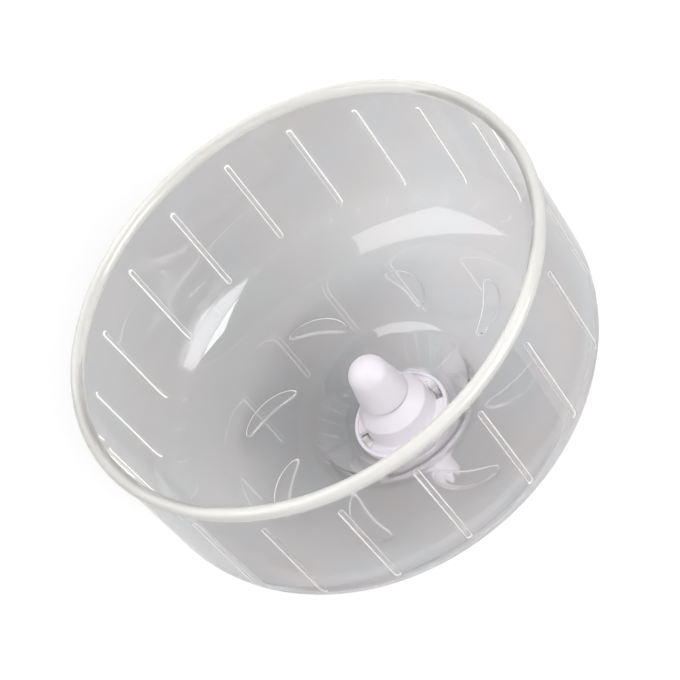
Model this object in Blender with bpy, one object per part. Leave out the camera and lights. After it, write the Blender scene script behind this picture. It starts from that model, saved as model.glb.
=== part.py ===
"""Clear running wheel for a hamster, on a ball-bearing hub with a toothed plug for the cage wall.

Metres, +Z up. The axle lies along Y: the mouth of the drum faces -Y, and the plug points to +Y.
The origin is the centre of the axle's rear end, where the wheel is fastened.
Shapes of revolution are drawn as (radius, y) outlines and turned about the Y axis.
"""
import math

import bmesh
import bpy
from mathutils import Matrix, Vector

# Clearances
SEAT_GAP = 0.0003
RUNNING_GAP = 0.0006
BALL_GAP = 0.0001

# Drum: clear moulded plastic, drawn by its inner surface and its wall
MOUTH_RADIUS = 0.0576
WALL = 0.0016
BEAD_RADIUS = 0.0016
DRUM_DEPTH = 0.0478
WALL_DRAFT_DEG = 0.5
CORNER_RADIUS = 0.0155
DISH_DEPTH = 0.0095
DISH_FLANK_WIDTH = 0.0088
DISH_EDGE_RADIUS = 0.0060
DISH_FOOT_RADIUS = 0.0040
SEAT_SETBACK = 0.0247

# Rungs: low ribs moulded across the running surface
RUNG_COUNT = 20
RUNG_ANGLE_DEG = 7.1
RUNG_WIDTH = 0.0014
RUNG_HEIGHT = 0.0008
RUNG_FROM_RIM = 0.0067
RUNG_LENGTH = 0.0300
RUNG_END_HEIGHT = 0.0003
RUNG_END_TAPER = 0.0006

# Crescents: low relief on the drum's back wall
CRESCENT_COUNT = 8
CRESCENT_ANGLE_DEG = 24.4
CRESCENT_TO_DISH = 0.0046
CRESCENT_RISE = 0.0117
CRESCENT_SWEEP_DEG = 20.7
CRESCENT_BOW = 0.0026
CRESCENT_WIDTH = 0.0045
CRESCENT_HEIGHT = 0.0007

# Axle and mounting sleeve
AXLE_RADIUS = 0.0020
AXLE_CHAMFER = 0.0003
AXLE_PAST_NUT = 0.0010
SLEEVE_WALL = 0.0009
SLEEVE_SHOULDER = 0.0010
SHOULDER_LENGTH = 0.0035
TOOTH_COUNT = 8
TOOTH_DEPTH = 0.0028
TOOTH_TIP_SHARE = 0.36

# Bearing
BEARING_RADIUS = 0.0065
BEARING_WIDTH = 0.0050
BALL_COUNT = 7
BALL_RADIUS = 0.00119
RACE_LAND_OFFSET = 0.00105
RING_EDGE = 0.0002
SHIELD_RECESS = 0.0002
SHIELD_THICKNESS = 0.0003
CAGE_THICKNESS = 0.0007
CAGE_RIM = 0.00036
POCKET_GAP = 0.00015

# Front fastening under the nose cap
BUSH_WALL = 0.0009
BUSH_LENGTH = 0.0047
WASHER_THICKNESS = 0.0007
NUT_ACROSS_FLATS = 0.0070
NUT_THICKNESS = 0.0032
NOSE_BASE_RADIUS = 0.0066
NOSE_TIP_RADIUS = 0.0052
NOSE_LENGTH = 0.0133
NOSE_EDGE_RADIUS = 0.0006

# Hub flange, which holds the bearing, and the rear cover
HUB_HEIGHT = 0.0106
COLLAR_MARGIN = 0.0015
COLLAR_WALL = 0.0021
COLLAR_CONE_HEIGHT = 0.0038
COLLAR_EDGE_RADIUS = 0.0012
COLLAR_FOOT = 0.0004
GROOVE_WIDTH = 0.0023
LIP_WIDTH = 0.0009
LIP_HEIGHT = 0.0007
FLANGE_THICKNESS = 0.0012
FLANGE_MARGIN = 0.0007
BARREL_WALL = 0.0016
BARREL_PAST_SEAT = 0.0018
BEARING_STOP = 0.0053
COVER_WALL = 0.0032
COVER_SKIRT = 0.0007
COVER_CONE_LENGTH = 0.0077
COVER_TAIL_WALL = 0.0009
COVER_CLEARANCE = 0.0008

# Bayonet: two lugs on the drum lock the flange to its seat
LUG_COUNT = 2
LUG_ANGLE_DEG = 24.0
LUG_STEM_DEG = 11.0
LUG_HEAD_DEG = 20.0
LUG_HEAD_THICKNESS = 0.0009
LUG_SIDE_GAP = 0.0004
LUG_STEM_INSET = 0.0001
WINDOW_LEAD_DEG = 14.0
WINDOW_SIDE_DEG = 2.0

# Facets
DRUM_SEGMENTS = 60
HUB_SEGMENTS = 40
SHAFT_SEGMENTS = 28
BALL_SEGMENTS = 10
BALL_RINGS = 7
POCKET_SEGMENTS = 16
ARC_STEPS = 5
CRESCENT_STEPS = 20
EDGE_STEPS = 3
SECTOR_STEPS = 4
SMOOTH_ANGLE_DEG = 35.0
MERGE_DISTANCE = 1e-7

# How far a shape reaches into, or past, the one that it is joined to or cut from
BURY = 0.0006

# Places along the axle, forwards from its rear end
SEAT_Y = -SEAT_SETBACK
SEAT_BACK_Y = SEAT_Y + WALL
DISC_Y = SEAT_Y - DISH_DEPTH
RIM_Y = DISC_Y - DRUM_DEPTH
FLANGE_BACK_Y = SEAT_Y - SEAT_GAP
FLANGE_FRONT_Y = FLANGE_BACK_Y - FLANGE_THICKNESS
COLLAR_FRONT_Y = FLANGE_BACK_Y - HUB_HEIGHT
BEARING_FRONT_Y = COLLAR_FRONT_Y + BEARING_STOP + SEAT_GAP
BEARING_Y = BEARING_FRONT_Y + BEARING_WIDTH / 2
BEARING_BACK_Y = BEARING_FRONT_Y + BEARING_WIDTH
BARREL_BACK_Y = SEAT_BACK_Y + BARREL_PAST_SEAT
COVER_FRONT_Y = SEAT_BACK_Y + SEAT_GAP
COVER_BACK_Y = COVER_FRONT_Y + COVER_SKIRT + COVER_CONE_LENGTH
BUSH_BACK_Y = BEARING_FRONT_Y - SEAT_GAP
BUSH_FRONT_Y = BUSH_BACK_Y - BUSH_LENGTH
WASHER_BACK_Y = BUSH_FRONT_Y - SEAT_GAP
WASHER_FRONT_Y = WASHER_BACK_Y - WASHER_THICKNESS
NUT_BACK_Y = WASHER_FRONT_Y - SEAT_GAP
NUT_FRONT_Y = NUT_BACK_Y - NUT_THICKNESS
AXLE_FRONT_Y = NUT_FRONT_Y - AXLE_PAST_NUT
NOSE_BASE_Y = COLLAR_FRONT_Y - RUNNING_GAP

# Radii that follow from the sizes above
SHAFT_BORE = AXLE_RADIUS + SEAT_GAP
PITCH_RADIUS = (SHAFT_BORE + BEARING_RADIUS) / 2
INNER_LAND = PITCH_RADIUS - RACE_LAND_OFFSET
OUTER_LAND = PITCH_RADIUS + RACE_LAND_OFFSET
SEAT_BORE = BEARING_RADIUS + SEAT_GAP
BARREL_RADIUS = SEAT_BORE + BARREL_WALL
DRUM_BORE = BARREL_RADIUS + SEAT_GAP
BUSH_RADIUS = SHAFT_BORE + BUSH_WALL
COLLAR_HOLE = BUSH_RADIUS + 2 * RUNNING_GAP
COLLAR_RADIUS = SEAT_BORE + COLLAR_WALL
GROOVE_INNER = COLLAR_RADIUS + COLLAR_FOOT
GROOVE_OUTER = GROOVE_INNER + GROOVE_WIDTH
FLANGE_RADIUS = GROOVE_OUTER + LIP_WIDTH
SEAT_RADIUS = FLANGE_RADIUS + FLANGE_MARGIN
DISH_RADIUS = SEAT_RADIUS + DISH_FLANK_WIDTH
COVER_BORE = BARREL_RADIUS + SEAT_GAP
COVER_RADIUS = COVER_BORE + COVER_WALL
SLEEVE_RADIUS = SHAFT_BORE + SLEEVE_WALL
COVER_HOLE = SLEEVE_RADIUS + COVER_CLEARANCE
NUT_RADIUS = NUT_ACROSS_FLATS / math.sqrt(3)
NOSE_CAVITY = NUT_RADIUS + SEAT_GAP


def clear_scene():
    """Start from an empty scene."""
    for old in list(bpy.data.objects):
        bpy.data.objects.remove(old, do_unlink=True)


def make_material(name, colour, roughness, metallic=0.0, clear=0.0):
    """A Principled finish; clear is the share of light that passes through."""
    finish = bpy.data.materials.new(name)
    finish.use_nodes = True
    shader = finish.node_tree.nodes["Principled BSDF"]
    shader.inputs["Base Color"].default_value = (*colour, 1.0)
    shader.inputs["Roughness"].default_value = roughness
    shader.inputs["Metallic"].default_value = metallic
    shader.inputs["Transmission Weight"].default_value = clear
    return finish


def make_pivot(name, y):
    """An empty on the axle's axis, which carries the pieces that turn together."""
    pivot = bpy.data.objects.new(name, None)
    pivot.location = (0.0, y, 0.0)
    bpy.context.collection.objects.link(pivot)
    return pivot


def make_object(name, bm, finish, pivot, place=None):
    """Turn a bmesh, drawn in world places, into an object whose origin is on its pivot or place."""
    bmesh.ops.recalc_face_normals(bm, faces=bm.faces)
    origin = place or pivot.location.copy()
    bmesh.ops.translate(bm, verts=bm.verts, vec=-origin)
    mesh = bpy.data.meshes.new(name)
    bm.to_mesh(mesh)
    bm.free()
    mesh.shade_smooth()
    mesh.set_sharp_from_angle(angle=math.radians(SMOOTH_ANGLE_DEG))
    piece = bpy.data.objects.new(name, mesh)
    bpy.context.collection.objects.link(piece)
    if finish:
        mesh.materials.append(finish)
    piece.parent = pivot
    piece.location = origin - pivot.location
    return piece


def combine(target, tool, operation, crossing=False):
    """Add a live Boolean; the tool, whose shapes may be crossing, stays as a hidden wire guide."""
    tool.hide_render = True
    tool.display_type = "WIRE"
    boolean = target.modifiers.new(f"{operation.lower()} {tool.name}", "BOOLEAN")
    boolean.operation = operation
    boolean.solver = "EXACT"
    boolean.use_self = crossing
    boolean.object = tool


def arc(centre_r, centre_y, radius, start, end, steps):
    """Points on a circle from angle start to end; angle 0 points away from the axle, 90 to +Y."""
    angles = [start + (end - start) * step / steps for step in range(steps + 1)]
    return [(centre_r + radius * math.cos(a), centre_y + radius * math.sin(a)) for a in angles]


def rounded(corners, steps=ARC_STEPS):
    """Replace each (radius, y, fillet) corner of an open outline by an arc of that fillet."""
    points = [corners[0][:2]]
    for before, corner, after in zip(corners, corners[1:], corners[2:]):
        here = Vector(corner[:2])
        to_before = (Vector(before[:2]) - here).normalized()
        to_after = (Vector(after[:2]) - here).normalized()
        if corner[2] == 0.0:
            points.append(tuple(here))
            continue
        half = to_before.angle(to_after) / 2
        middle = here + (to_before + to_after).normalized() * corner[2] / math.sin(half)
        first = here + to_before * corner[2] / math.tan(half) - middle
        last = here + to_after * corner[2] / math.tan(half) - middle
        start = math.atan2(first.y, first.x)
        turn = math.remainder(math.atan2(last.y, last.x) - start, math.tau)
        points += arc(middle.x, middle.y, corner[2], start, start + turn, steps)
    return points + [corners[-1][:2]]


def offset(corners, distance):
    """Move an open outline to its left by a distance; fillets grow or shrink to stay parallel."""
    moved = []
    spots = [Vector(corner[:2]) for corner in corners]
    runs = [(b - a).normalized() for a, b in zip(spots, spots[1:])]
    for index, (spot, corner) in enumerate(zip(spots, corners)):
        run_in = runs[max(index - 1, 0)]
        run_out = runs[min(index, len(runs) - 1)]
        left_in = Vector((-run_in.y, run_in.x))
        left_out = Vector((-run_out.y, run_out.x))
        shift = (left_in + left_out) * distance / (1 + left_in.dot(left_out))
        turn = run_in.x * run_out.y - run_in.y * run_out.x
        fillet = corner[2] - distance * math.copysign(1.0, turn) if corner[2] else 0.0
        moved.append((spot.x + shift.x, spot.y + shift.y, fillet))
    return moved


def turned(outline, segments):
    """Spin a closed (radius, y) outline once about the Y axis into a closed solid."""
    bm = bmesh.new()
    verts = [bm.verts.new((radius, y, 0.0)) for radius, y in outline]
    edges = [bm.edges.new(pair) for pair in zip(verts, verts[1:])]
    if outline[0][0] > 0.0:
        edges.append(bm.edges.new((verts[-1], verts[0])))
    bmesh.ops.spin(bm, geom=verts + edges, cent=(0, 0, 0), axis=(0, 1, 0),
                   angle=math.tau, steps=segments, use_merge=True)
    bmesh.ops.remove_doubles(bm, verts=bm.verts, dist=MERGE_DISTANCE)
    return bm


def add_prism(bm, outline, front_y, back_y):
    """Add a closed prism: an (x, z) outline carried from front_y to back_y."""
    front = [bm.verts.new((x, front_y, z)) for x, z in outline]
    back = [bm.verts.new((x, back_y, z)) for x, z in outline]
    bm.faces.new(front)
    bm.faces.new(reversed(back))
    for index in range(len(outline)):
        after = (index + 1) % len(outline)
        bm.faces.new((front[after], front[index], back[index], back[after]))


def sector(inner, outer, start_deg, end_deg):
    """Outline of a piece of a ring, between two radii and two angles."""
    sweep = end_deg - start_deg
    angles = [math.radians(start_deg + sweep * i / SECTOR_STEPS) for i in range(SECTOR_STEPS + 1)]
    far = [(outer * math.cos(a), outer * math.sin(a)) for a in angles]
    near = [(inner * math.cos(a), inner * math.sin(a)) for a in reversed(angles)]
    return far + near


def drum_inner_corners():
    """Corners of the drum's inner surface, from the mouth to the hub seat."""
    wall_length = DRUM_DEPTH - CORNER_RADIUS
    corner = MOUTH_RADIUS - wall_length * math.tan(math.radians(WALL_DRAFT_DEG))
    return [
        (MOUTH_RADIUS, RIM_Y, 0.0),
        (corner, DISC_Y, CORNER_RADIUS),
        (DISH_RADIUS, DISC_Y, DISH_EDGE_RADIUS),
        (SEAT_RADIUS, SEAT_Y, DISH_FOOT_RADIUS),
        (DRUM_BORE, SEAT_Y, 0.0),
    ]


def wall_radius(y):
    """Radius of the drum's inner surface at a place along the axle, round the corner too."""
    slope = math.tan(math.radians(WALL_DRAFT_DEG))
    past_corner = y - (DISC_Y - CORNER_RADIUS)
    straight = MOUTH_RADIUS - (min(y, DISC_Y - CORNER_RADIUS) - RIM_Y) * slope
    if past_corner <= 0.0:
        return straight
    return straight - CORNER_RADIUS + math.sqrt(CORNER_RADIUS ** 2 - past_corner ** 2)


def drum_outline():
    """Closed section of the drum: inner surface, back surface, and the bead round the mouth."""
    inner_corners = drum_inner_corners()
    inner = rounded(inner_corners)
    back = rounded(offset(inner_corners, -WALL))
    bead_r = MOUTH_RADIUS + WALL / 2
    reach = math.acos(WALL / 2 / BEAD_RADIUS)
    bead = arc(bead_r, RIM_Y, BEAD_RADIUS, reach, -math.pi - reach, 2 * ARC_STEPS)
    return bead + inner[1:] + back[:0:-1]


def add_rungs(bm):
    """Add all rungs: a rounded bar that follows the wall, repeated round the drum."""
    start = RIM_Y + RUNG_FROM_RIM
    end = start + RUNG_LENGTH
    full_from = start + RUNG_END_TAPER
    full_to = end - RUNG_END_TAPER
    between = [full_from + (full_to - full_from) * i / ARC_STEPS for i in range(ARC_STEPS + 1)]
    places = [start, *between, end]
    for index in range(RUNG_COUNT):
        turn = Matrix.Rotation(-math.radians(RUNG_ANGLE_DEG) - math.tau * index / RUNG_COUNT, 3, "Y")
        rings = []
        for y in places:
            height = RUNG_END_HEIGHT if y in (start, end) else RUNG_HEIGHT
            foot = wall_radius(y)
            half = RUNG_WIDTH / 2
            section = [(foot + BURY, -half), (foot - height / 2, -half), (foot - height, -half / 2),
                       (foot - height, half / 2), (foot - height / 2, half), (foot + BURY, half)]
            rings.append([bm.verts.new(turn @ Vector((r, y, side))) for r, side in section])
        for ring, following in zip(rings, rings[1:]):
            for i in range(len(ring)):
                j = (i + 1) % len(ring)
                bm.faces.new((ring[i], ring[j], following[j], following[i]))
        bm.faces.new(rings[0])
        bm.faces.new(rings[-1])


def bent_ellipse(start, end, bow, width):
    """Outline of an ellipse whose long axis is bent into an arc, which stands off its chord by bow."""
    half = (end - start).length / 2
    along = (end - start).normalized()
    right = Vector((along.y, -along.x))
    radius = (half ** 2 + bow ** 2) / (2 * bow)
    spread = math.asin(half / radius)
    centre = (start + end) / 2 - right * (radius - bow)
    outline = []
    for step in range(CRESCENT_STEPS):
        turn = math.tau * step / CRESCENT_STEPS
        angle = -spread * math.cos(turn)
        reach = radius + width / 2 * math.sin(turn)
        outline.append(centre + (right * math.cos(angle) + along * math.sin(angle)) * reach)
    return outline


def add_crescents(bm):
    """Add all crescents: bent ellipses, raised off the back wall."""
    inner_tip = DISH_RADIUS + CRESCENT_TO_DISH
    outer_tip = inner_tip + CRESCENT_RISE
    for index in range(CRESCENT_COUNT):
        angle = math.radians(CRESCENT_ANGLE_DEG) + math.tau * index / CRESCENT_COUNT
        swept = angle + math.radians(CRESCENT_SWEEP_DEG)
        start = Vector((inner_tip * math.cos(angle), inner_tip * math.sin(angle)))
        end = Vector((outer_tip * math.cos(swept), outer_tip * math.sin(swept)))
        outline = bent_ellipse(start, end, CRESCENT_BOW, CRESCENT_WIDTH)
        add_prism(bm, outline, DISC_Y - CRESCENT_HEIGHT, DISC_Y + BURY)


def add_lugs(bm, sweep_deg, inset, front_y, back_y):
    """Add one prism for each bayonet lug, in the flange's groove, drawn in from its sides by inset."""
    inner = GROOVE_INNER + LUG_SIDE_GAP + inset
    outer = GROOVE_OUTER - LUG_SIDE_GAP - inset
    for index in range(LUG_COUNT):
        start = LUG_ANGLE_DEG + 360.0 * index / LUG_COUNT
        add_prism(bm, sector(inner, outer, start, start + sweep_deg), front_y, back_y)


def make_drum(finish, pivot):
    """The clear drum with its rungs, its crescents and the lugs that lock the hub flange."""
    drum = make_object("wheel_drum", turned(drum_outline(), DRUM_SEGMENTS), finish, pivot)
    head_back = FLANGE_FRONT_Y - SEAT_GAP
    head_front = head_back - LUG_HEAD_THICKNESS
    stem_front = head_back - LUG_HEAD_THICKNESS / 2
    features = bmesh.new()
    add_rungs(features)
    add_crescents(features)
    add_lugs(features, LUG_STEM_DEG, LUG_STEM_INSET, stem_front, SEAT_Y + BURY)
    add_lugs(features, LUG_HEAD_DEG, 0.0, head_front, head_back)
    combine(drum, make_object("drum_features", features, None, pivot), "UNION", crossing=True)


def make_hub_flange(finish, pivot):
    """Front half of the hub: collar, groove and lip, and the barrel that holds the bearing."""
    bore_front = COLLAR_FRONT_Y + BEARING_STOP
    lip_front = FLANGE_FRONT_Y - LIP_HEIGHT
    outline = rounded([
        (COLLAR_HOLE, bore_front, 0.0),
        (COLLAR_HOLE, COLLAR_FRONT_Y, 0.0),
        (COLLAR_HOLE + COLLAR_MARGIN, COLLAR_FRONT_Y, RING_EDGE),
        (COLLAR_RADIUS, COLLAR_FRONT_Y + COLLAR_CONE_HEIGHT, COLLAR_EDGE_RADIUS),
        (GROOVE_INNER, FLANGE_FRONT_Y, 0.0),
        (GROOVE_OUTER, FLANGE_FRONT_Y, 0.0),
        (GROOVE_OUTER, lip_front, 0.0),
        (FLANGE_RADIUS, lip_front, RING_EDGE),
        (FLANGE_RADIUS, FLANGE_BACK_Y, 0.0),
        (BARREL_RADIUS, FLANGE_BACK_Y, 0.0),
        (BARREL_RADIUS, BARREL_BACK_Y, 0.0),
        (SEAT_BORE, BARREL_BACK_Y, 0.0),
        (SEAT_BORE, bore_front, 0.0),
    ], steps=EDGE_STEPS)
    flange = make_object("hub_flange", turned(outline, HUB_SEGMENTS), finish, pivot)
    windows = bmesh.new()
    for index in range(LUG_COUNT):
        start = LUG_ANGLE_DEG + 360.0 * index / LUG_COUNT
        opening = sector(GROOVE_INNER + LUG_SIDE_GAP / 2, GROOVE_OUTER - LUG_SIDE_GAP / 2,
                         start - WINDOW_LEAD_DEG, start + LUG_STEM_DEG + WINDOW_SIDE_DEG)
        add_prism(windows, opening, FLANGE_FRONT_Y - BURY, FLANGE_BACK_Y + BURY)
    combine(flange, make_object("flange_windows", windows, None, pivot), "DIFFERENCE")


def make_rear_cover(finish, pivot):
    """Cone behind the drum, pushed over the barrel; its spigot keeps the bearing in its seat."""
    spigot_radius = SEAT_BORE - SEAT_GAP
    cavity_back = BARREL_BACK_Y + SEAT_GAP
    skirt_back = COVER_FRONT_Y + COVER_SKIRT
    outline = rounded([
        (COVER_HOLE, BEARING_BACK_Y + SEAT_GAP, 0.0),
        (spigot_radius, BEARING_BACK_Y + SEAT_GAP, 0.0),
        (spigot_radius, cavity_back, 0.0),
        (COVER_BORE, cavity_back, 0.0),
        (COVER_BORE, COVER_FRONT_Y, 0.0),
        (COVER_RADIUS, COVER_FRONT_Y, RING_EDGE),
        (COVER_RADIUS, skirt_back, 2 * RING_EDGE),
        (COVER_HOLE + COVER_TAIL_WALL, COVER_BACK_Y, RING_EDGE),
        (COVER_HOLE, COVER_BACK_Y, 0.0),
    ], steps=EDGE_STEPS)
    make_object("rear_cover", turned(outline, HUB_SEGMENTS), finish, pivot)


def make_nose_cap(finish, pivot):
    """Rounded cone over the front nut, with a cavity for the nut and the axle's end."""
    tip_centre = NOSE_BASE_Y - NOSE_LENGTH + NOSE_TIP_RADIUS
    tip = arc(0.0, tip_centre, NOSE_TIP_RADIUS, -math.pi / 2, 0.0, 2 * ARC_STEPS)
    tip[0] = (0.0, tip_centre - NOSE_TIP_RADIUS)
    side = rounded([
        (*tip[-1], 0.0),
        (NOSE_BASE_RADIUS, NOSE_BASE_Y, NOSE_EDGE_RADIUS),
        (NOSE_CAVITY, NOSE_BASE_Y, 0.0),
    ], steps=EDGE_STEPS)
    cavity_front = NUT_FRONT_Y - SEAT_GAP
    bore_front = AXLE_FRONT_Y - SEAT_GAP
    cavity = [(NOSE_CAVITY, cavity_front), (SHAFT_BORE, cavity_front), (SHAFT_BORE, bore_front),
              (0.0, bore_front)]
    make_object("nose_cap", turned(tip[:-1] + side + cavity, HUB_SEGMENTS), finish, pivot)


def make_axle(finish, pivot):
    """Straight steel axle with chamfered ends; its rear end is the mounting face."""
    outline = [
        (0.0, AXLE_FRONT_Y),
        (AXLE_RADIUS - AXLE_CHAMFER, AXLE_FRONT_Y),
        (AXLE_RADIUS, AXLE_FRONT_Y + AXLE_CHAMFER),
        (AXLE_RADIUS, -AXLE_CHAMFER),
        (AXLE_RADIUS - AXLE_CHAMFER, 0.0),
        (0.0, 0.0),
    ]
    make_object("axle_rod", turned(outline, SHAFT_SEGMENTS), finish, pivot)


def make_mount_sleeve(finish, pivot):
    """Tube on the axle's rear half, with a shoulder and a ring of teeth that stops it turning."""
    shoulder_front = COVER_BACK_Y + RUNNING_GAP
    shoulder_back = shoulder_front + SHOULDER_LENGTH
    outline = [
        (SHAFT_BORE, BEARING_BACK_Y + SEAT_GAP),
        (SLEEVE_RADIUS, BEARING_BACK_Y + SEAT_GAP),
        (SLEEVE_RADIUS, shoulder_front),
        (SLEEVE_RADIUS + SLEEVE_SHOULDER, shoulder_front),
        (SLEEVE_RADIUS + SLEEVE_SHOULDER, shoulder_back),
        (SLEEVE_RADIUS, shoulder_back),
        (SLEEVE_RADIUS, 0.0),
        (SHAFT_BORE, 0.0),
    ]
    sleeve = make_object("mount_sleeve", turned(outline, SHAFT_SEGMENTS), finish, pivot)
    pitch = math.tau * SLEEVE_RADIUS / TOOTH_COUNT
    notch_half = pitch * (1 - TOOTH_TIP_SHARE) / 2
    slope = notch_half / TOOTH_DEPTH
    notches = bmesh.new()
    for index in range(TOOTH_COUNT):
        turn = Matrix.Rotation(-math.tau * index / TOOTH_COUNT, 3, "Y")
        wedge = [(-TOOTH_DEPTH, 0.0), (BURY, notch_half + BURY * slope), (BURY, -notch_half - BURY * slope)]
        rings = []
        for radius in (SHAFT_BORE - BURY, SLEEVE_RADIUS + BURY):
            rings.append([notches.verts.new(turn @ Vector((radius, y, side))) for y, side in wedge])
        for i in range(len(wedge)):
            j = (i + 1) % len(wedge)
            notches.faces.new((rings[0][i], rings[0][j], rings[1][j], rings[1][i]))
        notches.faces.new(rings[0])
        notches.faces.new(rings[1])
    combine(sleeve, make_object("tooth_notches", notches, None, pivot), "DIFFERENCE")


def make_ring(name, inner, outer, front_y, back_y, finish, pivot):
    """A plain ring, such as a washer, a bush or a bearing shield."""
    outline = [(inner, front_y), (outer, front_y), (outer, back_y), (inner, back_y)]
    make_object(name, turned(outline, SHAFT_SEGMENTS), finish, pivot)


def make_nut(finish, pivot):
    """Hexagon nut on the axle's front end."""
    bm = bmesh.new()
    hexagon = [(NUT_RADIUS * math.cos(math.tau * i / 6), NUT_RADIUS * math.sin(math.tau * i / 6))
               for i in range(6)]
    add_prism(bm, hexagon, NUT_FRONT_Y, NUT_BACK_Y)
    nut = make_object("axle_nut", bm, finish, pivot)
    bore = turned([(0.0, NUT_FRONT_Y - BURY), (SHAFT_BORE, NUT_FRONT_Y - BURY),
                   (SHAFT_BORE, NUT_BACK_Y + BURY), (0.0, NUT_BACK_Y + BURY)], SHAFT_SEGMENTS)
    combine(nut, make_object("nut_bore", bore, None, pivot), "DIFFERENCE")


def race_groove(land, side):
    """Arc of a ball groove from front to back; side is 1 in the outer ring and -1 in the inner one."""
    radius = BALL_RADIUS + BALL_GAP
    half = math.acos(abs(PITCH_RADIUS - land) / radius)
    groove = arc(0.0, BEARING_Y, radius, -half, half, ARC_STEPS)
    return [(PITCH_RADIUS + side * r, y) for r, y in groove]


def make_bearing(steel, cage_steel, fixed, wheel, orbit):
    """Deep-groove ball bearing: two rings, two shields, and balls carried round by a cage."""
    inner = [(SHAFT_BORE, BEARING_BACK_Y), (SHAFT_BORE, BEARING_FRONT_Y), (INNER_LAND, BEARING_FRONT_Y)]
    inner += race_groove(INNER_LAND, -1) + [(INNER_LAND, BEARING_BACK_Y)]
    make_object("bearing_inner_ring", turned(inner, SHAFT_SEGMENTS), steel, fixed)
    outer = [(BEARING_RADIUS, BEARING_BACK_Y), (BEARING_RADIUS, BEARING_FRONT_Y)]
    outer += [(OUTER_LAND, BEARING_FRONT_Y)]
    outer += race_groove(OUTER_LAND, 1) + [(OUTER_LAND, BEARING_BACK_Y)]
    make_object("bearing_outer_ring", turned(outer, SHAFT_SEGMENTS), steel, wheel)
    shield_inner = INNER_LAND + RUNNING_GAP
    shield_outer = OUTER_LAND - SEAT_GAP
    for name, side in (("bearing_shield_front", -1), ("bearing_shield_rear", 1)):
        outside = BEARING_Y + side * (BEARING_WIDTH / 2 - SHIELD_RECESS)
        inside = outside - side * SHIELD_THICKNESS
        make_ring(name, shield_inner, shield_outer, min(inside, outside), max(inside, outside), steel, wheel)
    for index in range(BALL_COUNT):
        angle = math.tau * index / BALL_COUNT
        place = Vector((PITCH_RADIUS * math.cos(angle), BEARING_Y, PITCH_RADIUS * math.sin(angle)))
        bm = bmesh.new()
        bmesh.ops.create_uvsphere(bm, u_segments=BALL_SEGMENTS, v_segments=BALL_RINGS,
                                  radius=BALL_RADIUS, matrix=Matrix.Translation(place))
        make_object(f"bearing_ball_{index + 1}", bm, steel, orbit, place)
    make_cage(cage_steel, orbit)


def make_cage(finish, orbit):
    """Thin band between the rings, with one round pocket for each ball."""
    pocket = BALL_RADIUS + POCKET_GAP
    half_width = pocket + CAGE_RIM
    inner = PITCH_RADIUS - CAGE_THICKNESS / 2
    outer = PITCH_RADIUS + CAGE_THICKNESS / 2
    outline = [(inner, BEARING_Y - half_width), (outer, BEARING_Y - half_width),
               (outer, BEARING_Y + half_width), (inner, BEARING_Y + half_width)]
    cage = make_object("bearing_cage", turned(outline, SHAFT_SEGMENTS), finish, orbit)
    pockets = bmesh.new()
    corner = pocket / math.cos(math.pi / POCKET_SEGMENTS)
    for index in range(BALL_COUNT):
        turn = Matrix.Rotation(-math.tau * index / BALL_COUNT, 4, "Y")
        stand = Matrix.Translation((PITCH_RADIUS, BEARING_Y, 0.0)) @ Matrix.Rotation(math.pi / 2, 4, "Y")
        bmesh.ops.create_cone(pockets, cap_ends=True, segments=POCKET_SEGMENTS, radius1=corner,
                              radius2=corner, depth=2 * CAGE_THICKNESS, matrix=turn @ stand)
    combine(cage, make_object("cage_pockets", pockets, None, orbit), "DIFFERENCE")


def main():
    """Build the wheel, fixed pieces first, then what turns with the drum, then the balls."""
    clear_scene()
    clear_plastic = make_material("clear_plastic", (0.84, 0.85, 0.87), 0.06, clear=1.0)
    white_plastic = make_material("white_plastic", (0.87, 0.86, 0.90), 0.35)
    zinc_steel = make_material("zinc_steel", (0.58, 0.58, 0.60), 0.35, metallic=1.0)
    bearing_steel = make_material("bearing_steel", (0.72, 0.72, 0.74), 0.15, metallic=1.0)
    cage_steel = make_material("cage_steel", (0.55, 0.54, 0.52), 0.30, metallic=1.0)
    bush_plastic = make_material("bush_plastic", (0.80, 0.79, 0.76), 0.45)
    fixed = make_pivot("fixed_axle", 0.0)
    wheel = make_pivot("wheel_spin", BEARING_Y)
    orbit = make_pivot("cage_spin", BEARING_Y)

    make_axle(zinc_steel, fixed)
    make_mount_sleeve(white_plastic, fixed)
    make_nose_cap(white_plastic, fixed)
    make_nut(zinc_steel, fixed)
    make_ring("nut_washer", SHAFT_BORE, BUSH_RADIUS + RUNNING_GAP, WASHER_FRONT_Y, WASHER_BACK_Y,
              zinc_steel, fixed)
    make_ring("spacer_bush", SHAFT_BORE, BUSH_RADIUS, BUSH_FRONT_Y, BUSH_BACK_Y, bush_plastic, fixed)
    make_drum(clear_plastic, wheel)
    make_hub_flange(white_plastic, wheel)
    make_rear_cover(white_plastic, wheel)
    make_bearing(bearing_steel, cage_steel, fixed, wheel, orbit)


main()
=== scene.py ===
# %% [markdown]
# # A clear running wheel for a hamster
# The wheel is a drum of clear moulded plastic on a small white hub. The packed solids of the part
# are loaded first and stay where they are. Every piece made here is drawn in the same frame, in
# metres: the axle lies along Y, the open mouth of the drum faces -Y, and +Z is up.

import bpy
import numpy as np
from mathutils import Matrix, Quaternion, Vector
from mathutils.geometry import delaunay_2d_cdt


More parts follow.
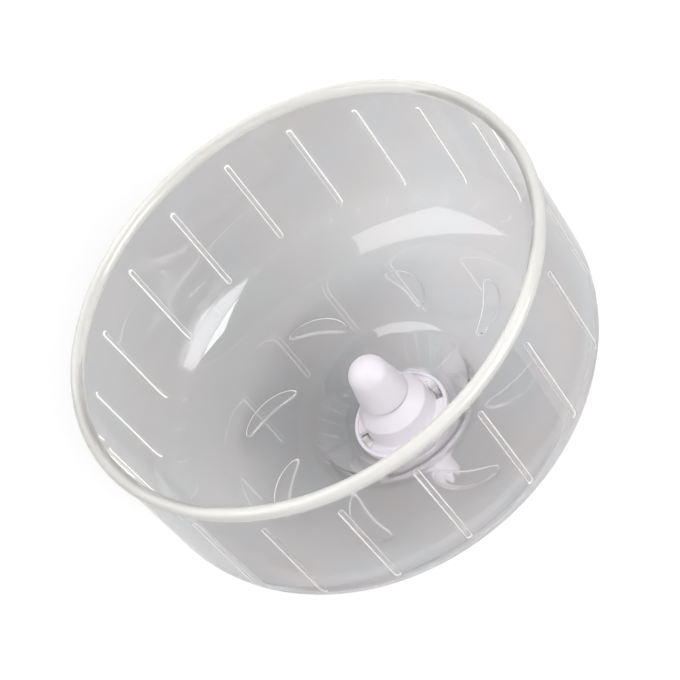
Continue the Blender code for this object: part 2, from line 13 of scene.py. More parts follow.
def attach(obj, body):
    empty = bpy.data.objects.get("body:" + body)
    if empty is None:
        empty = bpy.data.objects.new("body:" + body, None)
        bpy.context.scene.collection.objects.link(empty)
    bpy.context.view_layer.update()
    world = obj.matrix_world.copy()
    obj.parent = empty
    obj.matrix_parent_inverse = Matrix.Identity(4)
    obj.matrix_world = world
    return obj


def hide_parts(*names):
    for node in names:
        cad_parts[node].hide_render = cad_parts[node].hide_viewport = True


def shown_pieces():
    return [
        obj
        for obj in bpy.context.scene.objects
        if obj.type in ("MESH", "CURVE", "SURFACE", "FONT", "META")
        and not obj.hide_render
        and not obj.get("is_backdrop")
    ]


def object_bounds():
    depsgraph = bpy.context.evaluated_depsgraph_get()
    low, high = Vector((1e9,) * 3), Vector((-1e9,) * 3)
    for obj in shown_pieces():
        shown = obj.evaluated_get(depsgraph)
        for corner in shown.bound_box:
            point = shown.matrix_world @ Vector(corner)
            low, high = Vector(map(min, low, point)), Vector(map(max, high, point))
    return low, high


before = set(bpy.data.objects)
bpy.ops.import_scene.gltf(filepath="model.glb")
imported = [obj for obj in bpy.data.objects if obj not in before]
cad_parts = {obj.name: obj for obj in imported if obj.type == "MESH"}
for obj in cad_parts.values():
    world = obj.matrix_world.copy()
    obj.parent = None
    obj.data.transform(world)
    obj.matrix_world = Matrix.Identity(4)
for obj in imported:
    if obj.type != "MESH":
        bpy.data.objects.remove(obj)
cad_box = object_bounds()
print("solids:", len(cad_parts), "in a box of", [round(s, 4) for s in cad_box[1] - cad_box[0]])

# %% [markdown]
# ## The camera
# The picture looks down into the drum, past the near side of its rim. The camera is given by its
# place and by its own two directions, right and up, so its turn about the line of sight is exact.
# Euler angles would do as well, but three plain directions are easier to check.

# %% Camera
CAMERA_PLACE = Vector((-0.17013, -0.40754, 0.29267))
CAMERA_RIGHT = Vector((-0.89790, 0.44020, 0.0))
CAMERA_UP = Vector((-0.26562, -0.54181, -0.79743))
LENS_MM = 109.65
SENSOR_MM = 36.0
NEAREST_SEEN = 0.01

camera_data = bpy.data.cameras.new("camera")
camera_data.lens = LENS_MM
camera_data.sensor_width = SENSOR_MM
camera_data.clip_start = NEAREST_SEEN
camera = bpy.data.objects.new("camera", camera_data)
camera_back = CAMERA_RIGHT.cross(CAMERA_UP)
turn = Matrix((CAMERA_RIGHT, CAMERA_UP, camera_back)).transposed().to_4x4()
camera.matrix_world = Matrix.Translation(CAMERA_PLACE) @ turn
bpy.context.scene.collection.objects.link(camera)
bpy.context.scene.camera = camera
bpy.context.scene.view_settings.view_transform = "Standard"
print("camera stands", round(CAMERA_PLACE.length, 3), "m from the axle's end")

# %% [markdown]
# ## Writing shaders as sums
# A finish is a small network of nodes. Wiring each node by hand hides what the network works out,
# so one class stands for a node's output. Adding or multiplying two of them adds the Math node,
# and every other kind of node comes from its one method, node().


# %% A socket that can be added and multiplied
class Signal:
    """One output socket of a node tree."""

    def __init__(self, tree, socket=None):
        self.tree = tree
        self.socket = socket

    def node(self, kind, settings=None, inputs=None, out=0):
        """Add a node: its settings first, then its sockets' values or links; returns output out."""
        made = self.tree.nodes.new(kind)
        for name, value in (settings or {}).items():
            setattr(made, name, value)
        for name, value in (inputs or {}).items():
            if isinstance(value, Signal):
                self.tree.links.new(value.socket, made.inputs[name])
            else:
                made.inputs[name].default_value = value
        return Signal(self.tree, made.outputs[out] if made.outputs else None)

    def maths(self, operation, first, second):
        """A Math node on two values."""
        return self.node("ShaderNodeMath", {"operation": operation}, {0: first, 1: second})

    def __add__(self, other):
        return self.maths("ADD", self, other)

    def __radd__(self, other):
        return self.maths("ADD", other, self)

    def __sub__(self, other):
        return self.maths("SUBTRACT", self, other)

    def __rsub__(self, other):
        return self.maths("SUBTRACT", other, self)

    def __mul__(self, other):
        return self.maths("MULTIPLY", self, other)

    def __rmul__(self, other):
        return self.maths("MULTIPLY", other, self)

    def rise(self, low, high):
        """0 below low and 1 above high, with a smooth step between; low may be the larger."""
        return self.node("ShaderNodeMapRange", {"interpolation_type": "SMOOTHSTEP"},
                         {"Value": self, "From Min": low, "From Max": high})

    def blend(self, colour_a, colour_b):
        """A Mix node: colour_a where this signal is 0 and colour_b where it is 1."""
        return self.node("ShaderNodeMix", {"data_type": "RGBA"},
                         {0: self, 6: colour_a, 7: colour_b}, out=2)

    def grey(self):
        """This value as a colour: white scaled by it."""
        return self.node("ShaderNodeVectorMath", {"operation": "SCALE"},
                         {0: (1.0, 1.0, 1.0), "Scale": self})

    def away_from(self, spot):
        """The distance of this place from a fixed spot."""
        return self.node("ShaderNodeVectorMath", {"operation": "DISTANCE"},
                         {0: self, 1: spot}, out="Value")

    def ray(self, fact):
        """What the Light Path node says about the ray that asks for the colour."""
        return self.node("ShaderNodeLightPath", out=fact)


def start_finish(name):
    """A new material with an empty tree; returns it and a Signal to build with."""
    finish = bpy.data.materials.new(name)
    finish.use_nodes = True
    finish.node_tree.nodes.clear()
    return finish, Signal(finish.node_tree)


def show(start, shader):
    """Send a shader to the tree's surface output."""
    start.node("ShaderNodeOutputMaterial", inputs={"Surface": shader})


print("signals ready:", Signal.__doc__)

# %% [markdown]
# ## Floor and room
# The wheel stands on a white floor in a plain white room. Seen directly they are white; in the
# plastic and through it they are dimmer, so that the drum's outline stands out against them. The
# light that falls on the wheel is weaker still, so the room doesn't bleach it. Lamp light thins out
# where it falls at a slant, so the floor's colour makes up for that. Soft spots of painted light
# and painted shade lighten and darken the floor under the drum; the dark ones are a painted shadow
# of the hub and back wall. A white room alone would be simpler, but a floor keeps the wheel's
# shadow.

# %% Which rays see the room as it is
def unscattered(start):
    """1 until a matt surface has scattered the ray, and 0 from then on."""
    return 1.0 - start.ray("Diffuse Depth").rise(0.0, 1.0)


def seen_plainly(start):
    """1 for rays from the camera, a mirror or clear plastic, 0 for light that was scattered."""
    seen = start.maths("MAXIMUM", start.ray("Is Camera Ray"), start.ray("Is Glossy Ray"))
    return start.maths("MAXIMUM", seen, start.ray("Is Transmission Ray")) * unscattered(start)


def dimmed(start, share):
    """1 for rays straight from the camera, and share for rays that come by way of the plastic.

    Blender counts rays that a slightly rough clear plastic bends as glossy, like mirrored ones.
    """
    return 1.0 - (1.0 - share) * start.ray("Is Glossy Ray")


print("rays told apart by:", seen_plainly.__name__, dimmed.__name__)

# %% Floor
FLOOR_GAP = 0.0005
FLOOR_HEIGHT = cad_box[0].z - FLOOR_GAP
FLOOR_HALF = 6.0
FLOOR_LIT = (0.85, 0.85, 0.85, 1.0)
FLOOR_WHITE = 1.13
FLOOR_MIRRORED = 0.68
ROOM_LIGHT = 0.56
FLOOR_LEVEL = 0.78
SIDE_LEVEL = 0.33
# Soft spots of painted light and painted shade on the floor: middle x and y, reach, and how much
# each one brightens (a negative one darkens)
FLOOR_PAINTED_LIGHT_AND_SHADE = (
    (-0.015, -0.045, 0.038, 0.45),
    (0.062, 0.045, 0.060, -0.46),
    (0.000, 0.025, 0.035, 0.24),
    (0.045, -0.022, 0.045, -0.17),
)

floor_mesh = bpy.data.meshes.new("floor")
floor_mesh.from_pydata([(FLOOR_HALF * x, FLOOR_HALF * y, FLOOR_HEIGHT)
                        for x, y in ((-1, -1), (1, -1), (1, 1), (-1, 1))], [], [(0, 1, 2, 3)])
floor = bpy.data.objects.new("floor", floor_mesh)
bpy.context.scene.collection.objects.link(floor)
floor_paint, start = start_finish("floor_paint")
spot = start.node("ShaderNodeTexCoord", out="Object")
# A lamp's light on the floor is its level times the cosine of the slant, height over distance
lamp_share = start.maths("DIVIDE", CAMERA_PLACE.z - FLOOR_HEIGHT, spot.away_from(CAMERA_PLACE))
level = start.maths("DIVIDE", FLOOR_WHITE, ROOM_LIGHT + (FLOOR_LEVEL + SIDE_LEVEL) * lamp_share)
# Painted light and painted shade: each spot brightens or darkens the floor's colour
painted_light_and_shade = 1.0
for x, y, reach, change in FLOOR_PAINTED_LIGHT_AND_SHADE:
    away = spot.away_from((x, y, FLOOR_HEIGHT)) * (1.0 / reach)
    painted_light_and_shade = painted_light_and_shade + change * start.maths("POWER", np.exp(-1.0), away * away)
seen_colour = (level * painted_light_and_shade * dimmed(start, FLOOR_MIRRORED)).grey()
show(start, start.node("ShaderNodeBsdfDiffuse",
                       inputs={"Color": seen_plainly(start).blend(FLOOR_LIT, seen_colour)}))
floor_mesh.materials.append(floor_paint)
floor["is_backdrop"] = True
print("floor at", round(FLOOR_HEIGHT, 4))

# %% World
ROOM_COLOUR = (1.0, 1.0, 1.0, 1.0)
ROOM_MIRRORED = 0.42

world = bpy.data.worlds.new("white_room")
bpy.context.scene.world = world
world.use_nodes = True
world.node_tree.nodes.clear()
start = Signal(world.node_tree)
white = dimmed(start, ROOM_MIRRORED)
room_strength = ROOM_LIGHT + (white - ROOM_LIGHT) * seen_plainly(start)
room = start.node("ShaderNodeBackground", inputs={"Color": ROOM_COLOUR, "Strength": room_strength})
start.node("ShaderNodeOutputWorld", inputs={"Surface": room})
print("room light", ROOM_LIGHT)

# %% [markdown]
# ## Lamps
# The floor lamp stands at the camera and lights the floor alone: its shadow falls behind the drum,
# and seen through the drum it makes clear plastic read as grey. The side lamp adds the hub's own,
# softer shadow. Key and fill lamp light the hub and the cloudy edges, and the rear lamp the pieces
# behind the drum. None of these loses light with distance, so each level is plain to read. Two soft
# boxes, which only reflections show, give the large white shapes in the drum's rounded corner.

# %% Lamps
KEY_LEVEL = 0.22
FILL_LEVEL = 0.36
REAR_LEVEL = 0.45
KEY_RADIUS = 0.060
FLOOR_RADIUS = 0.002
SIDE_RADIUS = 0.045
# How far to the right of the camera and above it a lamp stands, in the camera's own directions
KEY_SHIFT = (-0.06, 0.30)
FILL_SHIFT = (0.06, -0.24)
SIDE_SHIFT = (0.06, 0.03)
WHEEL_MIDDLE = (cad_box[0] + cad_box[1]) / 2


def add_lamp(name, kind, place, aim):
    """A lamp of this kind at a place, its -Z turned towards aim."""
    lamp = bpy.data.lights.new(name, kind)
    holder = bpy.data.objects.new(name, lamp)
    holder.location = place
    holder.rotation_mode = "QUATERNION"
    holder.rotation_quaternion = (aim - place).to_track_quat("-Z", "Y")
    bpy.context.scene.collection.objects.link(holder)
    holder.visible_camera = False
    return holder


def shine_by(holder, strength):
    """Let a function of the lamp's node tree give the strength of its light."""
    holder.data.use_nodes = True
    tree = holder.data.node_tree
    tree.links.new(strength(Signal(tree)).socket, tree.nodes["Emission"].inputs["Strength"])


def without_falloff(start):
    """The same strength at any distance."""
    return start.node("ShaderNodeLightFalloff", inputs={"Strength": 1.0}, out="Constant")


def add_even_lamp(name, level, shift, radius):
    """A small lamp whose light doesn't fall off: a white card facing it shows level."""
    place = CAMERA_PLACE + (CAMERA_RIGHT * shift[0] + CAMERA_UP * shift[1])
    holder = add_lamp(name, "POINT", place, WHEEL_MIDDLE)
    holder.data.energy = level * 4.0 * np.pi ** 2
    holder.data.shadow_soft_size = radius
    holder.visible_glossy = False
    holder.visible_transmission = False
    shine_by(holder, without_falloff)
    return holder


key_lamp = add_even_lamp("key_lamp", KEY_LEVEL, KEY_SHIFT, KEY_RADIUS)
floor_lamp = add_even_lamp("floor_lamp", FLOOR_LEVEL, (0.0, 0.0), FLOOR_RADIUS)
fill_lamp = add_even_lamp("fill_lamp", FILL_LEVEL, FILL_SHIFT, KEY_RADIUS)
side_lamp = add_even_lamp("side_lamp", SIDE_LEVEL, SIDE_SHIFT, SIDE_RADIUS)
rear_lamp = add_even_lamp("rear_lamp", REAR_LEVEL, FILL_SHIFT, KEY_RADIUS)
print("lamp levels", KEY_LEVEL, FLOOR_LEVEL, FILL_LEVEL, SIDE_LEVEL, REAR_LEVEL)

# %% Soft boxes
BOX_DISTANCE = 0.70
# Each soft box: its direction to the right, up and back of the camera, then width, height, roll
# in degrees, and brightness
SOFT_BOXES = {
    "left_box": ((0.80, 0.12, 0.60), 0.60, 0.52, 40.0, 8.5),
    "right_box": ((-0.84, 0.09, 0.535), 0.54, 0.52, 0.0, 2.9),
}
for name, (way, width, height, roll, brightness) in SOFT_BOXES.items():
    way = (CAMERA_RIGHT * way[0] + CAMERA_UP * way[1] + camera_back * way[2]).normalized()
    box = add_lamp(name, "AREA", WHEEL_MIDDLE + way * BOX_DISTANCE, WHEEL_MIDDLE)
    box.rotation_quaternion = box.rotation_quaternion @ Quaternion((0, 0, 1), np.radians(roll))
    box.data.shape = "RECTANGLE"
    box.data.size, box.data.size_y = width, height
    box.data.energy = brightness * np.pi * width * height
    box.visible_diffuse = False
    shine_by(box, unscattered)

# %% [markdown]
# ## Shapes turned about the axle
# Nearly every piece is a shape of revolution, moulded or turned on a lathe. Its outline is a list
# of (radius, y) points, and a grid of angle times outline gives the whole surface at once. Corners
# are rounded by arcs, as a mould's corners are, so that they catch the light. A Screw modifier
# would turn an outline too, but on a grid the rungs and the teeth can be added by angle.

# %% Outlines
ARC_STEP = 0.00035
ARC_LEAST = 4
ARC_MOST = 24


def circle_arc(centre, radius, start, end, count):
    """Points centre + radius (cos a, sin a) for count angles a from start to end, in radians."""
    a = np.linspace(start, end, count)
    return np.stack([centre[0] + radius * np.cos(a), centre[1] + radius * np.sin(a)], 1)


def rounded_outline(corners, step=ARC_STEP, most=ARC_MOST):
    """Each (radius, y, fillet) corner becomes an arc tangent to both of its sides."""
    spots = np.array([c[:2] for c in corners], float)
    fillets = [c[2] for c in corners[1:-1]]
    runs = [spots[:1]]
    for before, here, after, fillet in zip(spots, spots[1:], spots[2:], fillets):
        if fillet == 0.0:
            runs.append(here[None])
            continue
        to_before = (before - here) / np.linalg.norm(before - here)
        to_after = (after - here) / np.linalg.norm(after - here)
        half = np.arccos(np.clip(to_before @ to_after, -1, 1)) / 2
        bisector = (to_before + to_after) / np.linalg.norm(to_before + to_after)
        middle = here + bisector * fillet / np.sin(half)
        first = here + to_before * fillet / np.tan(half) - middle
        last = here + to_after * fillet / np.tan(half) - middle
        begin = np.arctan2(first[1], first[0])
        sweep = np.arctan2(last[1], last[0]) - begin
        sweep = (sweep + np.pi) % (2 * np.pi) - np.pi
        count = int(np.clip(abs(sweep) * fillet / step, ARC_LEAST, most)) + 1
        runs.append(circle_arc(middle, fillet, begin, begin + sweep, count))
    return np.concatenate(runs + [spots[-1:]])


def offset_corners(corners, distance):
    """Move an open outline to its left by a distance; the fillets stay parallel."""
    spots = np.array([c[:2] for c in corners], float)
    runs = np.diff(spots, axis=0)
    runs /= np.linalg.norm(runs, axis=1)[:, None]
    run_in = np.concatenate([runs[:1], runs])
    run_out = np.concatenate([runs, runs[-1:]])
    left_in = np.stack([-run_in[:, 1], run_in[:, 0]], 1)
    left_out = np.stack([-run_out[:, 1], run_out[:, 0]], 1)
    share = distance / (1 + (left_in * left_out).sum(1))
    moved = spots + (left_in + left_out) * share[:, None]
    bend = np.sign(run_in[:, 0] * run_out[:, 1] - run_in[:, 1] * run_out[:, 0])
    fillets = np.array([c[2] for c in corners])
    fillets = np.where(fillets > 0, fillets - distance * bend, 0.0)
    return [(r, y, f) for (r, y), f in zip(moved, fillets)]


print("arcs of", ARC_LEAST, "to", ARC_MOST, "steps")


# %% Grids
def on_axle(radius, y, angle):
    """The place of a point from its radius, its y and its angle about the axle."""
    return np.stack([radius * np.cos(angle), y + 0 * angle, radius * np.sin(angle)], -1)


def grid_faces(columns, rows, wrap_columns, wrap_rows):
    """Quads between neighbours of a grid whose vertices run row by row in each column."""
    i = np.arange(columns if wrap_columns else columns - 1)
    j = np.arange(rows if wrap_rows else rows - 1)
    i, j = (a.ravel() for a in np.meshgrid(i, j, indexing="ij"))
    i2, j2 = (i + 1) % columns, (j + 1) % rows
    return np.stack([i * rows + j, i * rows + j2, i2 * rows + j2, i2 * rows + j], 1)


def as_triangles(faces):
    """Quads cut along a diagonal; triangles as they are."""
    if faces.shape[1] == 3:
        return faces
    return np.concatenate([faces[:, [0, 1, 2]], faces[:, [0, 2, 3]]])


def volume_of(points, triangles):
    """Signed volume: a sixth of the sum of a . (b x c) over all triangles."""
    a, b, c = (points[triangles[:, k]] for k in range(3))
    return float((a * np.cross(b, c)).sum() / 6)


print("a 3 by 2 grid has", len(grid_faces(3, 2, False, False)), "faces")

# %% Pieces
SHARP_DEG = 32.0
ON_AXIS = 1e-9


def smooth(mesh, sharp_deg=SHARP_DEG):
    """Shade a mesh smoothly, apart from edges that bend by more than an angle."""
    mesh.shade_smooth()
    mesh.set_sharp_from_angle(angle=np.radians(sharp_deg))


def make_piece(name, points, face_sets, sharp_deg=SHARP_DEG):
    """A mesh object of these points and faces, turned outwards by the sign of its volume."""
    triangles = np.concatenate([as_triangles(f) for f in face_sets])
    volume = volume_of(points, triangles)
    outward = 1 if volume > 0 else -1
    faces = [f[::outward].tolist() for group in face_sets for f in group]
    mesh = bpy.data.meshes.new(name)
    mesh.from_pydata(points.tolist(), [], faces)
    mesh.validate()
    smooth(mesh, sharp_deg)
    piece = bpy.data.objects.new(name, mesh)
    bpy.context.scene.collection.objects.link(piece)
    print(name, len(triangles), "triangles, volume", round(abs(volume) * 1e6, 2), "ml")
    return piece


def turned_piece(name, outline, columns):
    """A closed outline turned about the axle; where it meets the axis, one pole closes it."""
    on_axis = outline[:, 0] < ON_AXIS
    body = outline[~on_axis]
    angle = np.linspace(0, 2 * np.pi, columns, endpoint=False)
    points = on_axle(body[None, :, 0], body[None, :, 1], angle[:, None]).reshape(-1, 3)
    closed = not on_axis.any()
    face_sets = [grid_faces(columns, len(body), True, closed)]
    if not closed:
        first = np.arange(columns) * len(body)
        poles = outline[on_axis]
        points = np.concatenate([points, [[0, y, 0] for y in poles[:, 1]]])
        pole = len(points) - len(poles)
        after = np.roll(first, -1)
        last = len(body) - 1
        face_sets.append(np.stack([np.full(columns, pole), first, after], 1))
        face_sets.append(np.stack([np.full(columns, pole + 1), after + last, first + last], 1))
    return make_piece(name, points, face_sets)


def mark(piece, name, values):
    """Keep a value at each point of a piece, for its finish to read."""
    marked = piece.data.attributes.new(name, "FLOAT", "POINT")
    marked.data.foreach_set("value", values.astype(np.float32))
    print(name, "on", piece.name, "goes up to", round(float(values.max()), 2))


print("edges stay sharp from", SHARP_DEG, "degrees")

# %% [markdown]
# ## The drum
# The drum is one injection moulding: a plain wall with a bead round its mouth, a large rounded
# corner, a flat back with a dish in its middle, and the seat for the hub. Twenty low rungs run
# along the wall, and eight crescents stand on the back. The rungs could be separate strips, but
# they are moulded with the wall: its inner face is a grid of angle and path, and the rungs are a
# height on that grid, measured square to the face.

# %% Sizes of the drum
MOUTH_RADIUS = 0.0576
WALL = 0.0016
WALL_DRAFT = np.radians(0.5)
BEAD_RADIUS = 0.0016
RIM_Y = -0.0820
DISC_Y = -0.0342
SEAT_Y = -0.0247
CORNER_RADIUS = 0.0155
STRAIGHT_WALL = DISC_Y - CORNER_RADIUS - RIM_Y
CORNER_WALL_RADIUS = MOUTH_RADIUS - STRAIGHT_WALL * np.tan(WALL_DRAFT)
DISH_RADIUS = 0.0220
DISH_EDGE_FILLET = 0.0070
SEAT_RADIUS = 0.0132
SEAT_FILLET = 0.0040
DRUM_BORE = 0.0087

RUNG_COUNT = 20
RUNG_ANGLE = np.radians(7.1)
RUNG_HALF_WIDTH = 0.0007
RUNG_HEIGHT = 0.0005
RUNG_FROM_RIM = 0.0067
RUNG_LENGTH = 0.0300
FOOT_FILLET = 0.00020
SHOULDER = 0.00032

inner_corners = [
    (MOUTH_RADIUS, RIM_Y, 0.0),
    (CORNER_WALL_RADIUS, DISC_Y, CORNER_RADIUS),
    (DISH_RADIUS, DISC_Y, DISH_EDGE_FILLET),
    (SEAT_RADIUS, SEAT_Y, SEAT_FILLET),
    (DRUM_BORE, SEAT_Y, 0.0),
]
print("drum", round(2000 * (MOUTH_RADIUS + WALL / 2 + BEAD_RADIUS), 1), "mm across")

# %% Height of a moulded rib
# Steps across a rib's edge, from the plain face before it to the full height behind it
EDGE_STEPS_MM = [-0.30, -0.20, -0.13, -0.07, -0.01, 0.05, 0.11, 0.17, 0.24, 0.32, 0.42]
EDGE_STEPS = np.array(EDGE_STEPS_MM) * 1e-3


def edge_share(inside):
    """How far up a rib's edge a point is, 0 to 1, from its distance inside the rib's foot line."""
    return np.clip((inside + FOOT_FILLET) / (FOOT_FILLET + SHOULDER), 0, 1)


def rib_height(inside, height):
    """Height over the face: height (3 s^2 - 2 s^3), a hollow foot, then a round shoulder."""
    s = edge_share(inside)
    return height * (3 - 2 * s) * s ** 2


def rib_line(inside, centre, width):
    """1 along a line on a rib's edge and 0 away from it: exp(-((s - centre) / width)^2)."""
    return np.exp(-((edge_share(inside) - centre) / width) ** 2)


print("rib heights, mm:", np.round(rib_height(EDGE_STEPS, RUNG_HEIGHT) * 1000, 2))

# %% Columns of the drum's grid
PLAIN_COLUMNS = 8
across = np.concatenate([EDGE_STEPS - RUNG_HALF_WIDTH, [0.0], (RUNG_HALF_WIDTH - EDGE_STEPS)[::-1]])
rung_angles = across / CORNER_WALL_RADIUS
period = 2 * np.pi / RUNG_COUNT
plain_angles = np.linspace(rung_angles[-1], period + rung_angles[0], PLAIN_COLUMNS + 2)[1:-1]
one_period = np.concatenate([rung_angles, plain_angles])
column_angle = (RUNG_ANGLE + period * np.arange(RUNG_COUNT)[:, None] + one_period[None]).ravel()
column_across = np.tile(one_period, RUNG_COUNT) * CORNER_WALL_RADIUS
print(len(column_angle), "columns")

# %% Lengths along the inner face
FINE_STEP = 0.00005
FINE_MOST = 600
NORMAL_REACH = 0.00002


def path_length(outline):
    """Length along an outline at each of its points."""
    return np.concatenate([[0], np.cumsum(np.linalg.norm(np.diff(outline, axis=0), axis=1))])


def along_outline(outline, lengths):
    """Points of an outline at these lengths, and the unit normals to its left."""
    total = path_length(outline)
    spots, ahead, behind = (
        np.stack([np.interp(lengths + shift, total, outline[:, k]) for k in range(2)], 1)
        for shift in (0.0, NORMAL_REACH, -NORMAL_REACH))
    run = ahead - behind
    run /= np.linalg.norm(run, axis=1)[:, None]
    return spots, np.stack([-run[:, 1], run[:, 0]], 1)


fine_inner = rounded_outline(inner_corners, step=FINE_STEP, most=FINE_MOST)
on_disc = np.isclose(fine_inner[:, 1], DISC_Y, atol=1e-9)
corner_end_length = path_length(fine_inner)[np.argmax(on_disc)]
print("rim to flat back", round(corner_end_length * 1000, 2), "mm along the inner face")

# %% Inner face with its rungs
FLAT_MARGIN = 0.0003
ROWS_BEFORE_RUNGS = (0.0016, 0.0040)
RUNG_ROWS = 9
RUNG_ROWS_INSET = 0.003
CORNER_ROWS = 22
# A rung's ends are round, so the steps along it go on a little further than those across it
END_STEPS = np.concatenate([EDGE_STEPS, [0.58e-3, 0.70e-3]])

rung_end = RUNG_FROM_RIM + RUNG_LENGTH
wall_lengths = np.unique(np.round(np.concatenate([
    ROWS_BEFORE_RUNGS,
    RUNG_FROM_RIM + END_STEPS,
    np.linspace(RUNG_FROM_RIM + RUNG_ROWS_INSET, rung_end - RUNG_ROWS_INSET, RUNG_ROWS),
    rung_end - END_STEPS,
    np.linspace(STRAIGHT_WALL, corner_end_length, CORNER_ROWS),
    [corner_end_length + FLAT_MARGIN],
]), 7))
wall_spots, wall_left = along_outline(fine_inner, wall_lengths)
middle = (RUNG_FROM_RIM + rung_end) / 2
beyond = np.maximum(np.abs(wall_lengths - middle) - (RUNG_LENGTH / 2 - RUNG_HALF_WIDTH), 0)
inside_rung = RUNG_HALF_WIDTH - np.hypot(column_across[:, None], beyond[None])
wall_height = rib_height(inside_rung, RUNG_HEIGHT)
print(len(wall_lengths), "rows on the wall, rungs", round(wall_height.max() * 1000, 2), "mm high")

# %% Dish, back and bead
DISH_STEP = 0.0005
BACK_STEP = 0.0006
BACK_MOST = 20
BEAD_ROWS = 20

flat_start = (CORNER_WALL_RADIUS - CORNER_RADIUS, DISC_Y, 0.0)
dish_rows = rounded_outline([flat_start, *inner_corners[2:]], step=DISH_STEP)[1:]
dish_rows = np.concatenate([dish_rows[:1] + [[FLAT_MARGIN, 0.0]], dish_rows])
back_corners = offset_corners(inner_corners, -WALL)
back_rows = rounded_outline(back_corners, step=BACK_STEP, most=BACK_MOST)[:0:-1]
bead_turn = np.arccos(WALL / 2 / BEAD_RADIUS)
bead_middle = (MOUTH_RADIUS + WALL / 2, RIM_Y)
bead_rows = circle_arc(bead_middle, BEAD_RADIUS, bead_turn, -np.pi - bead_turn, BEAD_ROWS)
plain_rows = np.concatenate([dish_rows, back_rows, bead_rows])

columns, angle = len(column_angle), column_angle[:, None]
plain_part = on_axle(plain_rows[None, :, 0], plain_rows[None, :, 1], angle)
wall_radius = wall_spots[None, :, 0] + wall_left[None, :, 0] * wall_height
wall_y = wall_spots[None, :, 1] + wall_left[None, :, 1] * wall_height
wall_part = on_axle(wall_radius, wall_y, angle)
drum_grid = np.concatenate([plain_part, wall_part], 1)
rows = drum_grid.shape[1]
print("drum grid", columns, "by", rows)

# %% [markdown]
# ## The crescents
# Each crescent is an ellipse whose long axis is bent into an arc. Rings of the same outline, drawn
# in step by step and lifted by the rib's height, make its edge. The flat of the back between the
# crescents, the corner and the dish is filled by a triangulation, which is exact because it is
# flat. A finer grid over the whole back could carry the crescents too, but it would blur their
# edges.

# %% Crescent rings
CRESCENT_COUNT = 8
CRESCENT_ANGLE = np.radians(24.4)
CRESCENT_FROM_DISH = 0.0046
CRESCENT_OUTWARDS = 0.0117
CRESCENT_INNER = DISH_RADIUS + CRESCENT_FROM_DISH
CRESCENT_OUTER = CRESCENT_INNER + CRESCENT_OUTWARDS
CRESCENT_SWEEP = np.radians(20.7)
CRESCENT_BOW = 0.0026
CRESCENT_HALF_WIDTH = 0.00225
CRESCENT_HEIGHT = 0.00048
CRESCENT_SOFTER = 1.6
CRESCENT_STEPS = 64


def crescent_rings(first_angle, insets):
    """Bent ellipses, one for each inset, on the back wall.

    At angle t a ring reaches -a cos t along its arc and b sin t across it, a and b less the inset.
    """
    ends = np.array([first_angle, first_angle + CRESCENT_SWEEP])
    start, end = np.stack([np.cos(ends), np.sin(ends)], 1) * [[CRESCENT_INNER], [CRESCENT_OUTER]]
    half = np.linalg.norm(end - start) / 2
    along = (end - start) / (2 * half)
    right = np.array([along[1], -along[0]])
    radius = (half ** 2 + CRESCENT_BOW ** 2) / (2 * CRESCENT_BOW)
    spread = np.arcsin(half / radius)
    centre = (start + end) / 2 - right * (radius - CRESCENT_BOW)
    t = np.linspace(0, 2 * np.pi, CRESCENT_STEPS, endpoint=False)[:, None]
    bent = -(spread - insets / radius) * np.cos(t)
    reach = radius + (CRESCENT_HALF_WIDTH - insets) * np.sin(t)
    way = np.cos(bent)[..., None] * right + np.sin(bent)[..., None] * along
    flat = centre + reach[..., None] * way
    height = rib_height(insets / CRESCENT_SOFTER, CRESCENT_HEIGHT)
    height = np.broadcast_to(height, flat.shape[:2])
    return np.stack([flat[..., 0], DISC_Y - height, flat[..., 1]], -1)


crescent_angles = [CRESCENT_ANGLE + 2 * np.pi * k / CRESCENT_COUNT for k in range(CRESCENT_COUNT)]
crescents = np.stack([crescent_rings(a, EDGE_STEPS * CRESCENT_SOFTER) for a in crescent_angles])
print("crescents", crescents.shape)

# %% The flat of the back
ring_step = len(EDGE_STEPS)
crescent_first = columns * rows + np.arange(CRESCENT_COUNT)[:, None] * CRESCENT_STEPS * ring_step
crescent_ring = crescent_first + np.arange(CRESCENT_STEPS)[None] * ring_step
corner_ring = np.arange(columns) * rows + rows - 1
dish_ring = np.arange(columns) * rows
drum_points = np.concatenate([drum_grid.reshape(-1, 3), crescents.reshape(-1, 3)])


def closed_loop(first, count):
    """Edges from each of count points to the next one, and from the last to the first."""
    here = np.arange(count)
    return np.stack([first + here, first + (here + 1) % count], 1)


loops = [corner_ring, dish_ring, *crescent_ring]
flat_points = np.concatenate(loops)
loop_starts = np.cumsum([0] + [len(loop) for loop in loops[:-1]])
flat_edges = np.concatenate([closed_loop(k, len(loop)) for k, loop in zip(loop_starts, loops)])
flat_places = [Vector(p) for p in drum_points[flat_points][:, [0, 2]]]
filled = delaunay_2d_cdt(flat_places, flat_edges.tolist(), [], 0, 1e-9)
came_from = flat_points[np.array([ids[0] for ids in filled[3]])]
flat_triangles = came_from[np.array(filled[2])]

# A triangle with all its corners on one inner loop lies in the dish or under a crescent
loop_of = np.full(len(drum_points), -1)
for number, loop in enumerate(loops):
    loop_of[loop] = number
touched = loop_of[flat_triangles]
in_one_hole = (touched == touched[:, :1]).all(1) & (touched[:, 0] > 0)
flat_triangles = flat_triangles[~in_one_hole]
print(len(flat_triangles), "triangles fill the flat")

# %% Drum mesh
MOUTHWARDS = (0, -1, 0)
DRUM_SHARP_DEG = 40.0
half_steps = CRESCENT_STEPS // 2
pairs = np.arange(1, half_steps - 1)
top_quads = np.stack([pairs, CRESCENT_STEPS - pairs, CRESCENT_STEPS - pairs - 1, pairs + 1], 1)
tips = np.array([[0, CRESCENT_STEPS - 1, 1], [half_steps, half_steps - 1, half_steps + 1]])


def facing(points, faces, way):
    """The same faces, each turned so that its normal has a part along way."""
    a, b, c = (points[faces[:, k]] for k in range(3))
    backwards = np.cross(b - a, c - a) @ np.array(way, float) < 0
    return np.where(backwards[:, None], faces[:, ::-1], faces)


